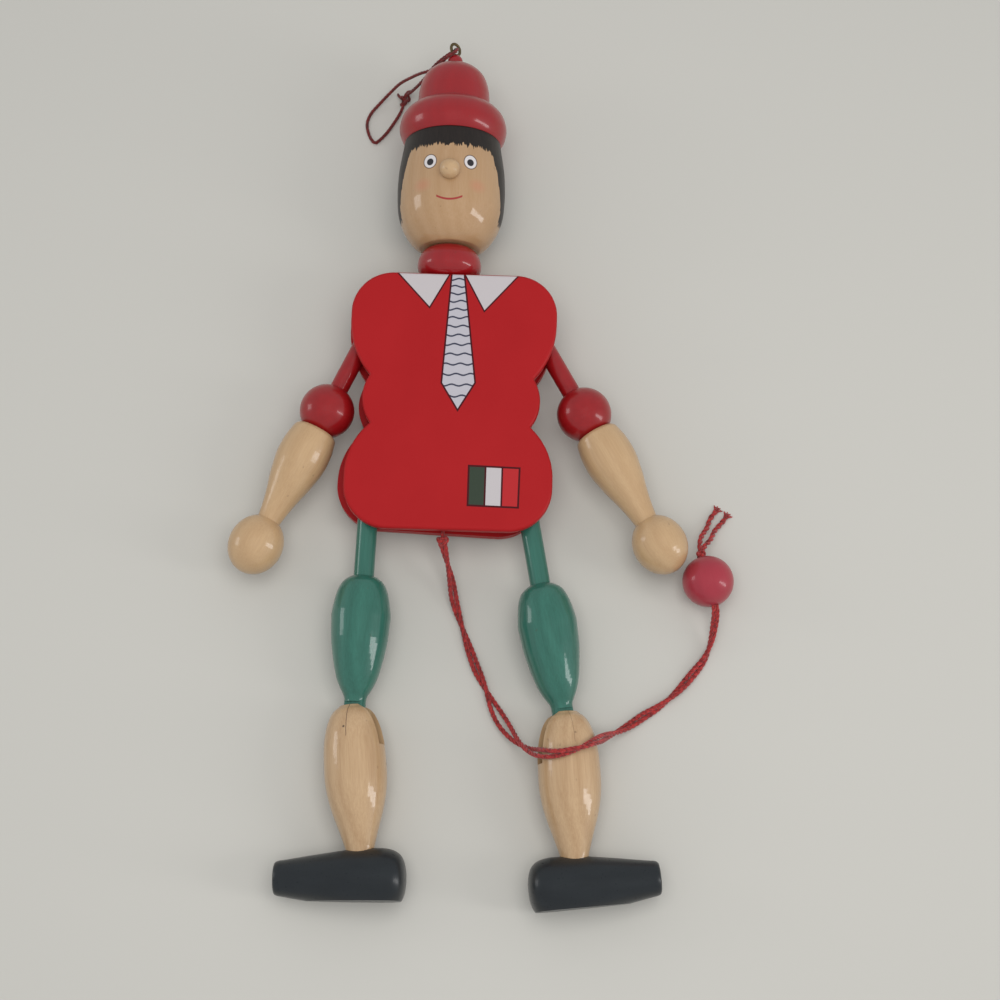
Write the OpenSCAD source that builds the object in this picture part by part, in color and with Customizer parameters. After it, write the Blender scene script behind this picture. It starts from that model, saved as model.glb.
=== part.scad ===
// Pull string jumping jack: a wooden figure lying on its back, seen from above.
// Two torso boards hold the pinned limbs; a draw string swings arms and legs outward.
// +Y runs from feet to head, +Z out of the front, the floor is at Z = 0.
// Millimetres throughout.

/* [Torso boards] */
// Height of the two torso boards
board_h = 120; // [110:1:135]
// Thickness of each torso board
board_t = 5; // [4:0.5:7]
// Gap between the boards, in which the limbs swing
board_gap = 11; // [10.6:0.2:13]
// Width across the shoulders
shoulder_w = 93.6; // [90:0.2:98]
// Width across the middle lobes
waist_w = 80.2; // [77:0.2:84]
// Width across the hips
hip_w = 93.2; // [90:0.2:98]
// Radius of the upper corners
shoulder_corner_r = 19; // [15:0.5:22]
// Radius of the sweep below the shoulders
shoulder_sweep_r = 40; // [38:0.5:42]
// Radius of the small middle lobes
waist_lobe_r = 19.7; // [18.5:0.1:21]
// Radius of the sweep above the hips
hip_sweep_r = 32; // [30:0.5:34]
// Radius of the lower corners
hip_corner_r = 20; // [16:0.5:23]
// Clockwise turn of the boards and pins against the head
torso_turn = 1.8; // [0:0.1:3]
// Further turn of the back board
back_turn = 2; // [0:0.1:2.5]
// Sideways shift of the back board
back_shift = 2.6; // [0:0.1:4]
// How much shorter the back board is sawn
back_short = 2.4; // [0:0.1:3.5]

/* [Pins] */
// Radius of the four limb pins
pin_r = 1.5; // [1.2:0.1:1.8]
// Distance between the two shoulder pins
shoulder_pin_span = 78.8; // [76:0.2:80]
// Depth of the shoulder pins below the upper edge
shoulder_pin_drop = 26.8; // [24:0.2:29]
// Distance between the two hip pins
hip_pin_span = 70.6; // [69:0.2:73]
// Height of the hip pins above the lower edge
hip_pin_y = 16; // [14:0.5:19]
// How far one hip pin was drilled above and the other below that height
hip_drill_offset = 1; // [0:0.1:1.5]
// Radial running clearance of a limb on its pin
pin_play = 0.05; // [0.03:0.01:0.09]

/* [Head and hat] */
// Height of the head between its flat ends
head_h = 52.4; // [48:0.2:56]
// Largest radius of the head
head_r = 25.1; // [23.5:0.1:26.5]
// Radius of the neck ring
neck_ring_r = 14.75; // [13:0.25:16]
// Thickness of the neck ring
neck_ring_h = 15; // [12:0.5:17]
// Radius of the neck dowel
neck_dowel_r = 4; // [3:0.25:5]
// Largest radius of the hat brim
hat_r = 25.25; // [24:0.25:27]
// Height of the hat with its knob
hat_h = 46.7; // [43:0.1:50]
// Radius of the button nose
nose_r = 4.6; // [3.5:0.1:5.5]
// Sideways lean of the neck and head
head_lean = 1.2; // [0:0.1:2.5]
// Outer diameter of the screw eye
eye_d = 7; // [6.6:0.1:8]
// Wire diameter of the screw eye
eye_wire_d = 1.4; // [1.2:0.1:1.6]

/* [Arms] */
// Distance from shoulder pin to ball centre
arm_ball_at = 41.25; // [39:0.25:44]
// Distance from shoulder pin to hand centre
arm_length = 110.2; // [107:0.1:115]
// Radius of the upper arm rod
arm_rod_r = 4.25; // [3.5:0.05:4.9]
// Radius of the sleeve ball
sleeve_ball_r = 12.4; // [11.4:0.1:13]
// Largest radius of the forearm
forearm_r = 11.7; // [10.5:0.1:12.3]
// Radius of the hand
hand_r = 12.2; // [11:0.1:12.8]
// Outward lean of the left arm at rest
left_arm_lean = 26.2; // [24:0.2:30]
// Outward lean of the right arm at rest
right_arm_lean = 28.8; // [26:0.2:29.6]

/* [Legs] */
// Distance from hip pin to knee pin
thigh_length = 105.2; // [101:0.2:108]
// Largest radius of the thigh
thigh_r = 13.2; // [12:0.1:14]
// Radius of the rod above the thigh
thigh_rod_r = 4.56; // [4:0.02:5]
// Outward lean of the left thigh at rest
left_thigh_lean = 2.9; // [2:0.1:5]
// Outward lean of the right thigh at rest
right_thigh_lean = 9.5; // [7:0.1:10.5]
// Twist of the knee hinges about the thighs
knee_twist = 16; // [6:0.5:17]
// Bend of the left knee at rest
left_knee_bend = 7.7; // [4:0.1:9]
// Bend of the right knee at rest
right_knee_bend = 6.75; // [4:0.05:9]
// Distance from knee pin to shoe centre line
calf_length = 64.1; // [62:0.1:67]
// Largest radius of the calf
calf_r = 13.6; // [12.5:0.1:14.2]
// Thickness of the tongue in the knee
tongue_t = 6; // [4:0.1:6.4]
// Clearance of the tongue on each side in the slot
slot_play = 0.5; // [0.3:0.05:0.7]
// Depth of the left knee slot below its pin
left_slot_deep = 8; // [7:0.5:14]
// Depth of the right knee slot below its pin
right_slot_deep = 12; // [7:0.5:14]
// Radius of the knee pins
knee_pin_r = 1.2; // [1:0.1:1.5]
// Radius of the ankle dowels
ankle_dowel_r = 3; // [2.5:0.1:3.4]
// Length of the ankle dowels
ankle_dowel_l = 20; // [16:0.5:22]

/* [Shoes] */
// Length of each shoe
shoe_length = 56.5; // [53:0.5:60]
// Largest radius of the shoe
shoe_r = 13; // [12.4:0.1:13.6]
// Depth of the flat sole below the shoe centre line
sole_drop = 9.4; // [8.6:0.1:10.4]
// Heel behind the ankle on the left shoe
left_heel_reach = 19; // [16:0.5:22]
// Heel behind the ankle on the right shoe
right_heel_reach = 20.5; // [18:0.5:23]
// Toe lift of the left shoe
left_toe_lift = 4.8; // [2:0.1:6]
// Toe lift of the right shoe
right_toe_lift = 2.4; // [1:0.1:6]

/* [Strings and bead] */
// Thickness of the pull cord
pull_cord_d = 3.8; // [3:0.1:4]
// Thickness of the hanging loop cord
loop_cord_d = 1.7; // [1.4:0.1:1.9]
// Thickness of the hidden strings
string_d = 1.6; // [1.2:0.1:2]
// Radius of the pull bead
bead_r = 11.5; // [11:0.25:12.5]
// Distance of the arm string hole beyond the pin
arm_hole_at = 10; // [9:0.25:11]
// Distance of the leg string hole beyond the pin
leg_hole_at = 20; // [18:0.25:21]

/* [Hidden] */
$fn = 64;
board_half = board_gap / 2;
front_z = board_half + board_t;
board_mid_y = board_h / 2;
shoulder_pin_y = board_h - shoulder_pin_drop;
back_drop = 0.7;
pivot_share = 0.06;
pivot_x = board_t * pivot_share;
shoulder_side_share = 0.808;
waist_share = 0.502;
hip_side_share = 0.204;
shoulder_side_y = board_h * shoulder_side_share;
waist_y = board_h * waist_share;
hip_side_y = board_h * hip_side_share;
press_play = 0.02;
glue_play = 0.05;
pin_depth_share = 0.8;
pin_back_head_h = 1.2;
pin_head_share = 1.8;
pin_head_r = pin_r * pin_head_share;
neck_x = -3.5;
block_w = 30;
block_h = 17;
dowel_in_head = 20;
dowel_in_block = 14;
tang_t = 4;
string_r = string_d / 2;
string_hole_share = 1.6;
string_hole_r = string_r * string_hole_share;
tang_end = 4;
tang_start = 5;
string_rise_share = 1.2;
string_z = tang_t / 2 + string_r * string_rise_share;
knot_share = 0.8;
knot_r = string_d * knot_share;
spacer_r = 4;
spacer_x = 26;
spacer_share = 0.458;
spacer_y = board_h * spacer_share;
collar_at = 11.9;
knee_pin_back_share = 0.86;
knee_pin_front_share = 0.74;
knee_pin_back = calf_r * knee_pin_back_share;
knee_pin_front = calf_r * knee_pin_front_share;
nose_share = 0.55;
ring_gap = 0.1;
ring_play = 0.3;
head_seat = neck_ring_h + ring_gap;
hat_seat = head_seat + head_h;
hat_top = hat_seat + hat_h;
eye_ring_r = (eye_d - eye_wire_d) / 2;
eye_rise = 2.8;
eye_shank_l = 12;
eye_turn = 45;
knob_share = 0.18;
knob_r = hat_r * knob_share;
knob_ball_share = 0.8;
knob_foot_share = 1.2;
knob_ball_r = knob_r * knob_ball_share;
nose_out_share = 0.55;
cuff_share = 0.83;
hand_seat_share = 0.86;
hand_stretch_share = 1.13;
thigh_rod_share = 0.37;

// Turned outlines: share of length, share of largest radius
neck_ring_shares = [[0, 0.62], [0.04, 0.74], [0.14, 0.88], [0.3, 0.98], [0.46, 1],
    [0.62, 0.98], [0.8, 0.9], [0.93, 0.78], [1, 0.64]];
head_shares = [[0, 0.56], [0.025, 0.64], [0.05, 0.7], [0.09, 0.77], [0.14, 0.84],
    [0.21, 0.908], [0.33, 0.976], [0.47, 0.998], [0.57, 1], [0.72, 0.984],
    [0.87, 0.938], [1, 0.896]];
hat_shares = [[0, 0.885], [0.025, 0.922], [0.065, 0.962], [0.12, 0.993], [0.171, 1],
    [0.235, 0.978], [0.29, 0.935], [0.345, 0.85], [0.385, 0.75], [0.4, 0.685],
    [0.43, 0.675], [0.5, 0.668], [0.58, 0.656], [0.675, 0.614], [0.75, 0.548],
    [0.82, 0.42], [0.865, 0.26], [0.885, 0.16], [0.9, 0.13]];
forearm_shares = [[0, 0.758], [0.02, 0.84], [0.044, 0.88], [0.098, 0.93], [0.155, 0.974],
    [0.255, 1], [0.357, 0.983], [0.457, 0.906], [0.557, 0.82], [0.668, 0.692], [0.798, 0.564],
    [0.928, 0.47], [0.966, 0.462], [0.999, 0.5]];
thigh_shares = [[0.113, 0.363], [0.124, 0.366], [0.138, 0.397], [0.155, 0.47],
    [0.172, 0.545], [0.205, 0.663], [0.24, 0.747], [0.307, 0.864], [0.375, 0.951],
    [0.444, 0.987], [0.478, 1], [0.512, 0.965], [0.548, 0.912], [0.582, 0.841],
    [0.617, 0.7], [0.638, 0.5], [0.646, 0.345]];
calf_shares = [[-0.161, 0.4], [-0.145, 0.485], [-0.126, 0.6], [-0.086, 0.73],
    [-0.031, 0.835], [0.03, 0.912], [0.125, 0.978], [0.246, 1], [0.348, 0.993],
    [0.448, 0.934], [0.548, 0.824], [0.647, 0.676], [0.733, 0.551], [0.819, 0.441],
    [0.9, 0.4]];
shoe_shares = [[0, 0.2], [0.005, 0.36], [0.014, 0.53], [0.03, 0.69], [0.052, 0.81],
    [0.085, 0.905], [0.125, 0.965], [0.17, 0.995], [0.2, 1], [0.3, 0.985], [0.44, 0.935],
    [0.56, 0.86], [0.7, 0.765], [0.84, 0.66], [0.93, 0.595], [0.965, 0.572], [0.99, 0.53],
    [1, 0.46]];

// Smooth curve through a list of points, three steps in each span
function at(list, i) = list[max(0, min(len(list) - 1, i))];
function bend(a, b, c, d, t) = b + (c - a) * t / 2
    + (2 * a - 5 * b + 4 * c - d) * t * t / 2
    + (3 * b - a - 3 * c + d) * t * t * t / 2;
function smooth(list, steps) = concat([for (i = [0:len(list) - 2], s = [0:steps - 1])
    bend(at(list, i - 1), list[i], list[i + 1], at(list, i + 2), s / steps)],
    [list[len(list) - 1]]);
function scaled(shares, length, radius) =
    [for (p = smooth(shares, 3)) [p[1] * radius, p[0] * length]];

// Turned body along +Y from a list of shares
module turned(shares, length, radius) {
    points = scaled(shares, length, radius);
    last = len(points) - 1;
    rotate([-90, 0, 0])
    rotate_extrude()
    polygon(concat([[0, points[0][1]]], points, [[0, points[last][1]]]));
}

// Turned body along -Y, for limbs that hang from a pin
module hung(shares, length, radius) {
    mirror([0, 1, 0]) turned(shares, length, radius);
}

// Round rod along +Y between two heights
module rod(from, to, radius) {
    translate([0, from, 0])
    rotate([-90, 0, 0])
    cylinder(h = to - from, r = radius);
}

// Round rod along Z between two heights
module pin(from, to, radius) {
    translate([0, 0, from])
    cylinder(h = to - from, r = radius);
}

// How the figure lies: the back of the head and the shoes touch the floor
function turn_xy(p, a) = [p[0] * cos(a) - p[1] * sin(a), p[0] * sin(a) + p[1] * cos(a), p[2]];
function turn_xz(p, a) = [p[0] * cos(a) + p[2] * sin(a), p[1], p[2] * cos(a) - p[0] * sin(a)];
function pin_place(x, y) =
    turn_xy([x - pivot_x, y - board_mid_y, 0], -torso_turn) + [pivot_x, board_mid_y, 0];
function hip_at(side) = pin_place(side * hip_pin_span / 2, hip_pin_y - side * hip_drill_offset);
function shoulder_at(side) = pin_place(side * shoulder_pin_span / 2, shoulder_pin_y);
function thigh_lean(side) = side < 0 ? left_thigh_lean : right_thigh_lean;
function knee_bend(side) = side < 0 ? left_knee_bend : right_knee_bend;
function knee_at(side) =
    hip_at(side) + turn_xy([0, -thigh_length, 0], side * thigh_lean(side));
function from_knee(side, p) = knee_at(side)
    + turn_xy(turn_xz(turn_xy(p, -side * knee_bend(side)), side * knee_twist),
        side * thigh_lean(side));
function ankle_at(side) = from_knee(side, [0, -calf_length, 0]);
head_mid = board_h + head_seat + head_h * nose_share;
low_ankle = ankle_at(1);
lay_tilt = asin((head_r - shoe_r + low_ankle[2]) / (head_mid - low_ankle[1]));
lay_z = head_r - head_mid * sin(lay_tilt) + (1 - cos(lay_tilt)) * head_r;
middle_x = 3.65;
middle_y = 37.6;
function laid(p) = [p[0] - middle_x,
    p[1] * cos(lay_tilt) - p[2] * sin(lay_tilt) - middle_y,
    p[1] * sin(lay_tilt) + p[2] * cos(lay_tilt) + lay_z];

module lay() {
    translate([-middle_x, -middle_y, lay_z])
    rotate([lay_tilt, 0, 0])
    children();
}

module torso_frame() {
    lay()
    translate([pivot_x, board_mid_y, 0])
    rotate([0, 0, -torso_turn])
    translate([-pivot_x, -board_mid_y, 0])
    children();
}

module neck_frame() {
    base = pin_place(neck_x, board_h);
    lay()
    translate(base)
    rotate([0, 0, -head_lean])
    children();
}

module shoulder_frame(side, lean) {
    lay()
    translate(shoulder_at(side))
    rotate([0, 0, side * lean])
    children();
}

module hip_frame(side) {
    lay()
    translate(hip_at(side))
    rotate([0, 0, side * thigh_lean(side)])
    children();
}

module knee_frame(side) {
    hip_frame(side)
    translate([0, -thigh_length, 0])
    rotate([0, side * knee_twist, 0])
    rotate([0, 0, -side * knee_bend(side)])
    children();
}

// Outline of one half of a torso board
module half_outline(foot) {
    shoulder_x = shoulder_w / 2;
    hip_x = hip_w / 2;
    translate([0, foot])
    square([shoulder_x - shoulder_corner_r, board_h - foot]);
    translate([shoulder_x - shoulder_corner_r, board_h - shoulder_corner_r])
    circle(r = shoulder_corner_r);
    translate([0, shoulder_side_y])
    square([shoulder_x, board_h - shoulder_corner_r - shoulder_side_y]);
    intersection() {
        translate([shoulder_x - shoulder_sweep_r, shoulder_side_y])
        circle(r = shoulder_sweep_r);
        translate([0, waist_y])
        square([shoulder_x, shoulder_side_y - waist_y]);
    }
    translate([waist_w / 2 - waist_lobe_r, waist_y])
    circle(r = waist_lobe_r);
    intersection() {
        translate([hip_x - hip_sweep_r, hip_side_y])
        circle(r = hip_sweep_r);
        translate([0, hip_side_y])
        square([hip_x, waist_y - hip_side_y]);
    }
    translate([0, foot + hip_corner_r])
    square([hip_x, hip_side_y - hip_corner_r - foot]);
    translate([hip_x - hip_corner_r, foot + hip_corner_r])
    circle(r = hip_corner_r);
}

module board_outline(foot = 0) {
    intersection() {
        union() {
            half_outline(foot);
            mirror([1, 0, 0]) half_outline(foot);
            translate([-hip_corner_r, foot]) square([2 * hip_corner_r, board_h - foot]);
        }
        translate([-shoulder_w, foot]) square([2 * shoulder_w, board_h - foot]);
    }
}

// Places on the boards where the four limb pins stand
module at_pins() {
    for (side = [-1, 1]) {
        translate([side * shoulder_pin_span / 2, shoulder_pin_y, 0]) children();
        translate([side * hip_pin_span / 2, hip_pin_y - side * hip_drill_offset, 0]) children();
    }
}

module front_panel() {
    color([0.67, 0.14, 0.16])
    torso_frame()
    difference() {
        translate([0, 0, board_half])
        linear_extrude(board_t)
        board_outline();
        at_pins()
        pin(0, board_half + board_t * pin_depth_share, pin_r + press_play);
    }
}

module back_panel() {
    color([0.67, 0.14, 0.16])
    torso_frame()
    difference() {
        translate([-back_shift, board_mid_y - back_drop, -front_z])
        rotate([0, 0, -back_turn])
        translate([0, -board_mid_y, 0])
        linear_extrude(board_t)
        board_outline(back_short);
        at_pins() {
            pin(-2 * front_z, 0, pin_r + press_play);
            pin(-2 * front_z, pin_back_head_h - front_z, pin_head_r + press_play);
        }
    }
}

// Nail with a flat head, driven in from the back
module limb_pin() {
    pin(-front_z, board_half + board_t * pin_depth_share - press_play, pin_r);
    pin(-front_z, pin_back_head_h - front_z, pin_head_r);
}

module shoulder_pin(side) {
    color([0.62, 0.62, 0.64])
    torso_frame()
    translate([side * shoulder_pin_span / 2, shoulder_pin_y, 0])
    limb_pin();
}

module hip_pin(side) {
    color([0.62, 0.62, 0.64])
    torso_frame()
    translate([side * hip_pin_span / 2, hip_pin_y - side * hip_drill_offset, 0])
    limb_pin();
}

module left_shoulder_pin() { shoulder_pin(-1); }
module right_shoulder_pin() { shoulder_pin(1); }
module left_hip_pin() { hip_pin(-1); }
module right_hip_pin() { hip_pin(1); }

module neck_block() {
    color([0.78, 0.66, 0.48])
    difference() {
        torso_frame()
        translate([neck_x - block_w / 2, board_h - block_h, -board_half])
        cube([block_w, block_h, board_gap]);
        neck_frame()
        rod(-dowel_in_block, block_h, neck_dowel_r + press_play);
    }
}

module neck_dowel() {
    color([0.78, 0.66, 0.48])
    neck_frame()
    rod(press_play - dowel_in_block, head_seat + dowel_in_head, neck_dowel_r);
}

module neck_ring() {
    color([0.6, 0.2, 0.22])
    torso_frame()
    translate([neck_x, board_h, 0])
    difference() {
        turned(neck_ring_shares, neck_ring_h, neck_ring_r);
        rod(-neck_ring_h, 2 * neck_ring_h, neck_dowel_r + ring_play);
    }
}

module head() {
    color([0.78, 0.66, 0.48])
    neck_frame()
    difference() {
        translate([0, head_seat, 0])
        turned(head_shares, head_h, head_r);
        rod(0, head_seat + dowel_in_head + press_play, neck_dowel_r + press_play);
        translate([0, head_seat + head_h * nose_share, 0])
        pin(head_r / 2, 2 * head_r, nose_r / 2 + press_play);
    }
}

module nose() {
    color([0.78, 0.66, 0.48])
    neck_frame()
    difference() {
        translate([0, head_seat + head_h * nose_share, 0]) {
            translate([0, 0, head_r + nose_r * nose_out_share]) sphere(r = nose_r);
            pin(head_r / 2 + press_play, head_r + nose_r / 2, nose_r / 2);
        }
        difference() {
            translate([0, head_seat, 0])
            turned(head_shares, head_h, head_r + glue_play);
            translate([0, head_seat + head_h * nose_share, 0])
            pin(0, 2 * head_r, nose_r / 2);
        }
    }
}

module hat() {
    stem_r = hat_r * hat_shares[len(hat_shares) - 1][1];
    color([0.6, 0.2, 0.22])
    neck_frame()
    difference() {
        translate([0, hat_seat, 0])
        union() {
            turned(hat_shares, hat_h, hat_r);
            translate([0, hat_h - knob_ball_r, 0]) sphere(r = knob_ball_r);
            translate([0, hat_h - knob_r * knob_foot_share, 0]) rod(-knob_r, 0, stem_r);
        }
        rod(hat_top - eye_shank_l, hat_top + hat_h, eye_wire_d / 2 + press_play);
    }
}

module screw_eye() {
    color([0.55, 0.42, 0.25])
    neck_frame()
    translate([0, hat_top + eye_rise, 0])
    rotate([0, eye_turn, 0]) {
        rotate_extrude()
        translate([eye_ring_r, 0])
        circle(d = eye_wire_d);
        rod(press_play - eye_rise - eye_shank_l, -eye_ring_r, eye_wire_d / 2);
    }
}

module spacer(side) {
    color([0.78, 0.66, 0.48])
    torso_frame()
    translate([side * spacer_x, spacer_y, 0])
    pin(-board_half, board_half, spacer_r);
}

module left_spacer() { spacer(-1); }
module right_spacer() { spacer(1); }

// Upper end of a limb: rod, flattened tang and the two holes
module limb_top(length, radius, hole_at) {
    difference() {
        union() {
            rod(-length, tang_start, radius);
            intersection() {
                rod(0, hole_at + tang_end, radius);
                translate([-radius, 0, -tang_t / 2])
                cube([2 * radius, hole_at + tang_end, tang_t]);
            }
        }
        pin(-board_gap, board_gap, pin_r + pin_play);
        translate([0, hole_at, 0])
        pin(-board_gap, board_gap, string_hole_r);
    }
}

module arm(side, lean) {
    cuff_at = sleeve_ball_r * cuff_share;
    hand_seat = hand_r * hand_seat_share;
    color([0.6, 0.2, 0.22])
    shoulder_frame(side, lean) {
        limb_top(arm_ball_at, arm_rod_r, arm_hole_at);
        translate([0, -arm_ball_at, 0]) {
            sphere(r = sleeve_ball_r);
            translate([0, -cuff_at, 0])
            hung(forearm_shares, arm_length - arm_ball_at - cuff_at - hand_seat, forearm_r);
            rod(-sleeve_ball_r, 0, arm_rod_r);
        }
        translate([0, -arm_length, 0])
        hand();
    }
}

// Hand: an egg turned on the end of the arm
module hand() {
    hand_half = hand_r * hand_stretch_share;
    rotate([-90, 0, 0])
    rotate_extrude()
    polygon([for (a = [-90:7.5:90]) [hand_r * cos(a), hand_half * sin(a)]]);
}

module left_arm() { arm(-1, left_arm_lean); }
module right_arm() { arm(1, right_arm_lean); }

module thigh(side) {
    tongue_w = thigh_shares[0][1] * thigh_r * 2;
    color([0.22, 0.44, 0.37])
    hip_frame(side) {
        limb_top(thigh_length * thigh_rod_share, thigh_rod_r, leg_hole_at);
        translate([0, -thigh_length, 0]) {
            turned(thigh_shares, thigh_length, thigh_r);
            rotate([0, side * knee_twist, 0])
            difference() {
                intersection() {
                    union() {
                        pin(-tongue_t / 2, tongue_t / 2, tongue_w / 2);
                        translate([-tongue_w / 2, 0, -tongue_t / 2])
                        cube([tongue_w, collar_at + tongue_t, tongue_t]);
                    }
                    rod(-tongue_w, 2 * collar_at, tongue_w / 2);
                }
                pin(-tongue_t, tongue_t, knee_pin_r + pin_play);
            }
        }
    }
}

module left_thigh() { thigh(-1); }
module right_thigh() { thigh(1); }

// Shoe turned along X, toe outward, before its sole is cut
module shoe_form(side, heel_reach, toe_lift, extra) {
    translate([0, -calf_length, 0])
    rotate([0, -side * knee_twist, 0])
    rotate([0, 0, side * toe_lift])
    translate([-side * heel_reach, 0, 0])
    rotate([0, 0, -side * 90])
    turned(shoe_shares, shoe_length, shoe_r + extra);
}

module calf(side, slot_deep, heel_reach, toe_lift) {
    slot_w = tongue_t + 2 * slot_play;
    color([0.78, 0.66, 0.48])
    knee_frame(side)
    difference() {
        hung(calf_shares, calf_length, calf_r);
        translate([-calf_r, -slot_deep, -slot_w / 2])
        cube([2 * calf_r, slot_deep + collar_at, slot_w]);
        pin(-calf_r, knee_pin_front, knee_pin_r + press_play);
        rod(-calf_length, ankle_dowel_l / 2 - calf_length + shoe_r, ankle_dowel_r + press_play);
        shoe_form(side, heel_reach, toe_lift, glue_play);
    }
}

module left_calf() { calf(-1, left_slot_deep, left_heel_reach, left_toe_lift); }
module right_calf() { calf(1, right_slot_deep, right_heel_reach, right_toe_lift); }

module shoe(side, heel_reach, toe_lift) {
    color([0.18, 0.2, 0.22])
    knee_frame(side)
    difference() {
        shoe_form(side, heel_reach, toe_lift, 0);
        translate([0, -calf_length, 0])
        rotate([0, -side * knee_twist, 0])
        rotate([0, 0, side * toe_lift])
        translate([-2 * shoe_length, -2 * shoe_r - sole_drop, -shoe_r])
        cube([4 * shoe_length, 2 * shoe_r, 2 * shoe_r]);
        rod(shoe_r - calf_length - ankle_dowel_l / 2, 0, ankle_dowel_r + press_play);
    }
}

module left_shoe() { shoe(-1, left_heel_reach, left_toe_lift); }
module right_shoe() { shoe(1, right_heel_reach, right_toe_lift); }

module ankle_dowel(side) {
    middle = shoe_r - calf_length;
    color([0.78, 0.66, 0.48])
    knee_frame(side)
    rod(middle - ankle_dowel_l / 2 + press_play, middle + ankle_dowel_l / 2 - press_play,
        ankle_dowel_r);
}

module left_ankle_dowel() { ankle_dowel(-1); }
module right_ankle_dowel() { ankle_dowel(1); }

module knee_pin(side) {
    color([0.62, 0.62, 0.64])
    knee_frame(side)
    pin(-knee_pin_back, knee_pin_front - press_play, knee_pin_r);
}

module left_knee_pin() { knee_pin(-1); }
module right_knee_pin() { knee_pin(1); }

// Cord tube: one skin carried along a smooth route
start_normal = [0.3, 0.1, 1];
function unit(v) = v / norm(v);
function heading(route, i) = unit(at(route, i + 1) - at(route, i - 1));
function square_to(v, t) = unit(v - (v * t) * t);
function normals(route) = [for (i = 0, n = square_to(start_normal, heading(route, 0));
    i < len(route); i = i + 1, n = i < len(route) ? square_to(n, heading(route, i)) : n) n];
module cord(route, diameter, sides) {
    side_n = normals(route);
    count = len(route);
    points = [for (i = [0:count - 1], k = [0:sides - 1])
        let (a = 360 * k / sides, t = heading(route, i), n = side_n[i])
        route[i] + (n * cos(a) + cross(t, n) * sin(a)) * diameter / 2];
    walls = [for (i = [0:count - 2], k = [0:sides - 1])
        let (a = i * sides + k, b = i * sides + (k + 1) % sides)
        [a, b, b + sides, a + sides]];
    ends = [[for (k = [0:sides - 1]) sides - 1 - k],
        [for (k = [0:sides - 1]) (count - 1) * sides + k]];
    polyhedron(points = points,
        faces = [for (f = concat(walls, ends)) [for (j = [len(f) - 1:-1:0]) f[j]]]);
}

// Routes of the cords on the floor, x, y and height of the centre line
exit_inside = [-3.7, -1.5, 0];
exit_at = laid([-3.7, -3, 0]);
bead_at = [111.5, -57.6, bead_r];
bead_turn = 13;
end_apart = 0.8;
cord_knot_share = 0.7;
loop_knot_share = 1.25;
function in_bead(share) = bead_at + turn_xy([0, share * bead_r, 0], bead_turn);
pull_route = [exit_at, [-5.6, -48, 15], [-3.6, -56.2, 9], [-1.9, -65.7, 4],
    [1.2, -75.8, 2.1], [4.6, -86.3, 2], [7.7, -95, 2], [12, -104.5, 2], [15.4, -112.2, 2.1],
    [19.3, -119.4, 3], [24.2, -126.4, 6], [29, -131.3, 11], [32.8, -134.2, 17],
    [36, -136, 23.5], [39.8, -136.8, 27], [44, -136.8, 29], [49.1, -135.7, 29.5],
    [53.9, -134.1, 28.2], [57.9, -132, 25.5], [61.6, -129.6, 19.6], [64.8, -127.4, 12.6],
    [68.4, -125.4, 7], [72.3, -123.1, 3.6], [76.6, -120.4, 2.2], [82, -116.8, 2],
    [89.5, -112.2, 2], [97.2, -105.9, 2], [104.1, -98.3, 2], [109.5, -91.5, 2.1],
    [112.5, -84.8, 3], [113.9, -78.2, 7], in_bead(-1.15), in_bead(-0.5), in_bead(0),
    in_bead(0.5), in_bead(1.04)];
loop_route = [[-28.2, 188.6, 2.2], [-25.7, 189.1, 5], [-21.4, 189.2, 12], [-17.3, 190.6, 18],
    [-13, 193.6, 23.2], [-9.6, 195.4, 26], [-6.4, 196.7, 28.2], [-4.6, 198.4, 27.4],
    [-2.8, 199.2, 28.5], [-1.8, 198.6, 30.2], [-2.9, 196, 32], [-6.3, 194.2, 31],
    [-9.5, 192, 29], [-12.4, 190.7, 26.6], [-16.1, 190.4, 23.8], [-19.6, 190.9, 21],
    [-24.1, 191.4, 16.4], [-30.1, 190.9, 11], [-35.2, 188.6, 6], [-40.8, 184.2, 2.4],
    [-44.5, 180.2, 1.1], [-46.3, 175.8, 0.95], [-46.2, 171.4, 0.9], [-44.6, 166.8, 0.9],
    [-42.3, 164.4, 0.9], [-39.4, 166.6, 0.9], [-36.2, 170.5, 0.9], [-32.9, 175.8, 0.9],
    [-30.1, 181, 1], [-28.6, 185.6, 1.6]];
loop_knot_at = [-28.2, 187.2, 2.2];
end_route_a = [in_bead(1) - [end_apart, 0, 0], [109, -40.5, 8.5], [110.3, -35.6, 6], [112.4, -30.8, 3],
    [115.5, -24.9, 1.4], [118.9, -20.5, 0.9]];
end_route_b = [in_bead(1) + [end_apart, 0, 0], [111.2, -40.8, 9], [113.6, -36.7, 6.5], [116.9, -32, 3],
    [121, -26.7, 1.2], [124.4, -21.4, 0.9]];

module pull_cord() {
    color([0.65, 0.24, 0.26]) {
        cord(smooth(pull_route, 2), pull_cord_d, 8);
        translate(exit_at) sphere(r = pull_cord_d * cord_knot_share);
        cord(smooth(end_route_a, 2), loop_cord_d, 6);
        cord(smooth(end_route_b, 2), loop_cord_d, 6);
        translate(in_bead(1.08)) sphere(r = pull_cord_d * cord_knot_share);
    }
}

module pull_bead() {
    color([0.6, 0.24, 0.27])
    translate(bead_at)
    difference() {
        sphere(r = bead_r);
        rotate([0, 0, bead_turn])
        rod(-2 * bead_r, 2 * bead_r, pull_cord_d / 2 + glue_play);
    }
}

module hanging_loop() {
    color([0.5, 0.12, 0.14]) {
        cord(smooth(loop_route, 2), loop_cord_d, 6);
        translate(loop_knot_at) sphere(r = loop_cord_d * loop_knot_share);
    }
}

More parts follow.
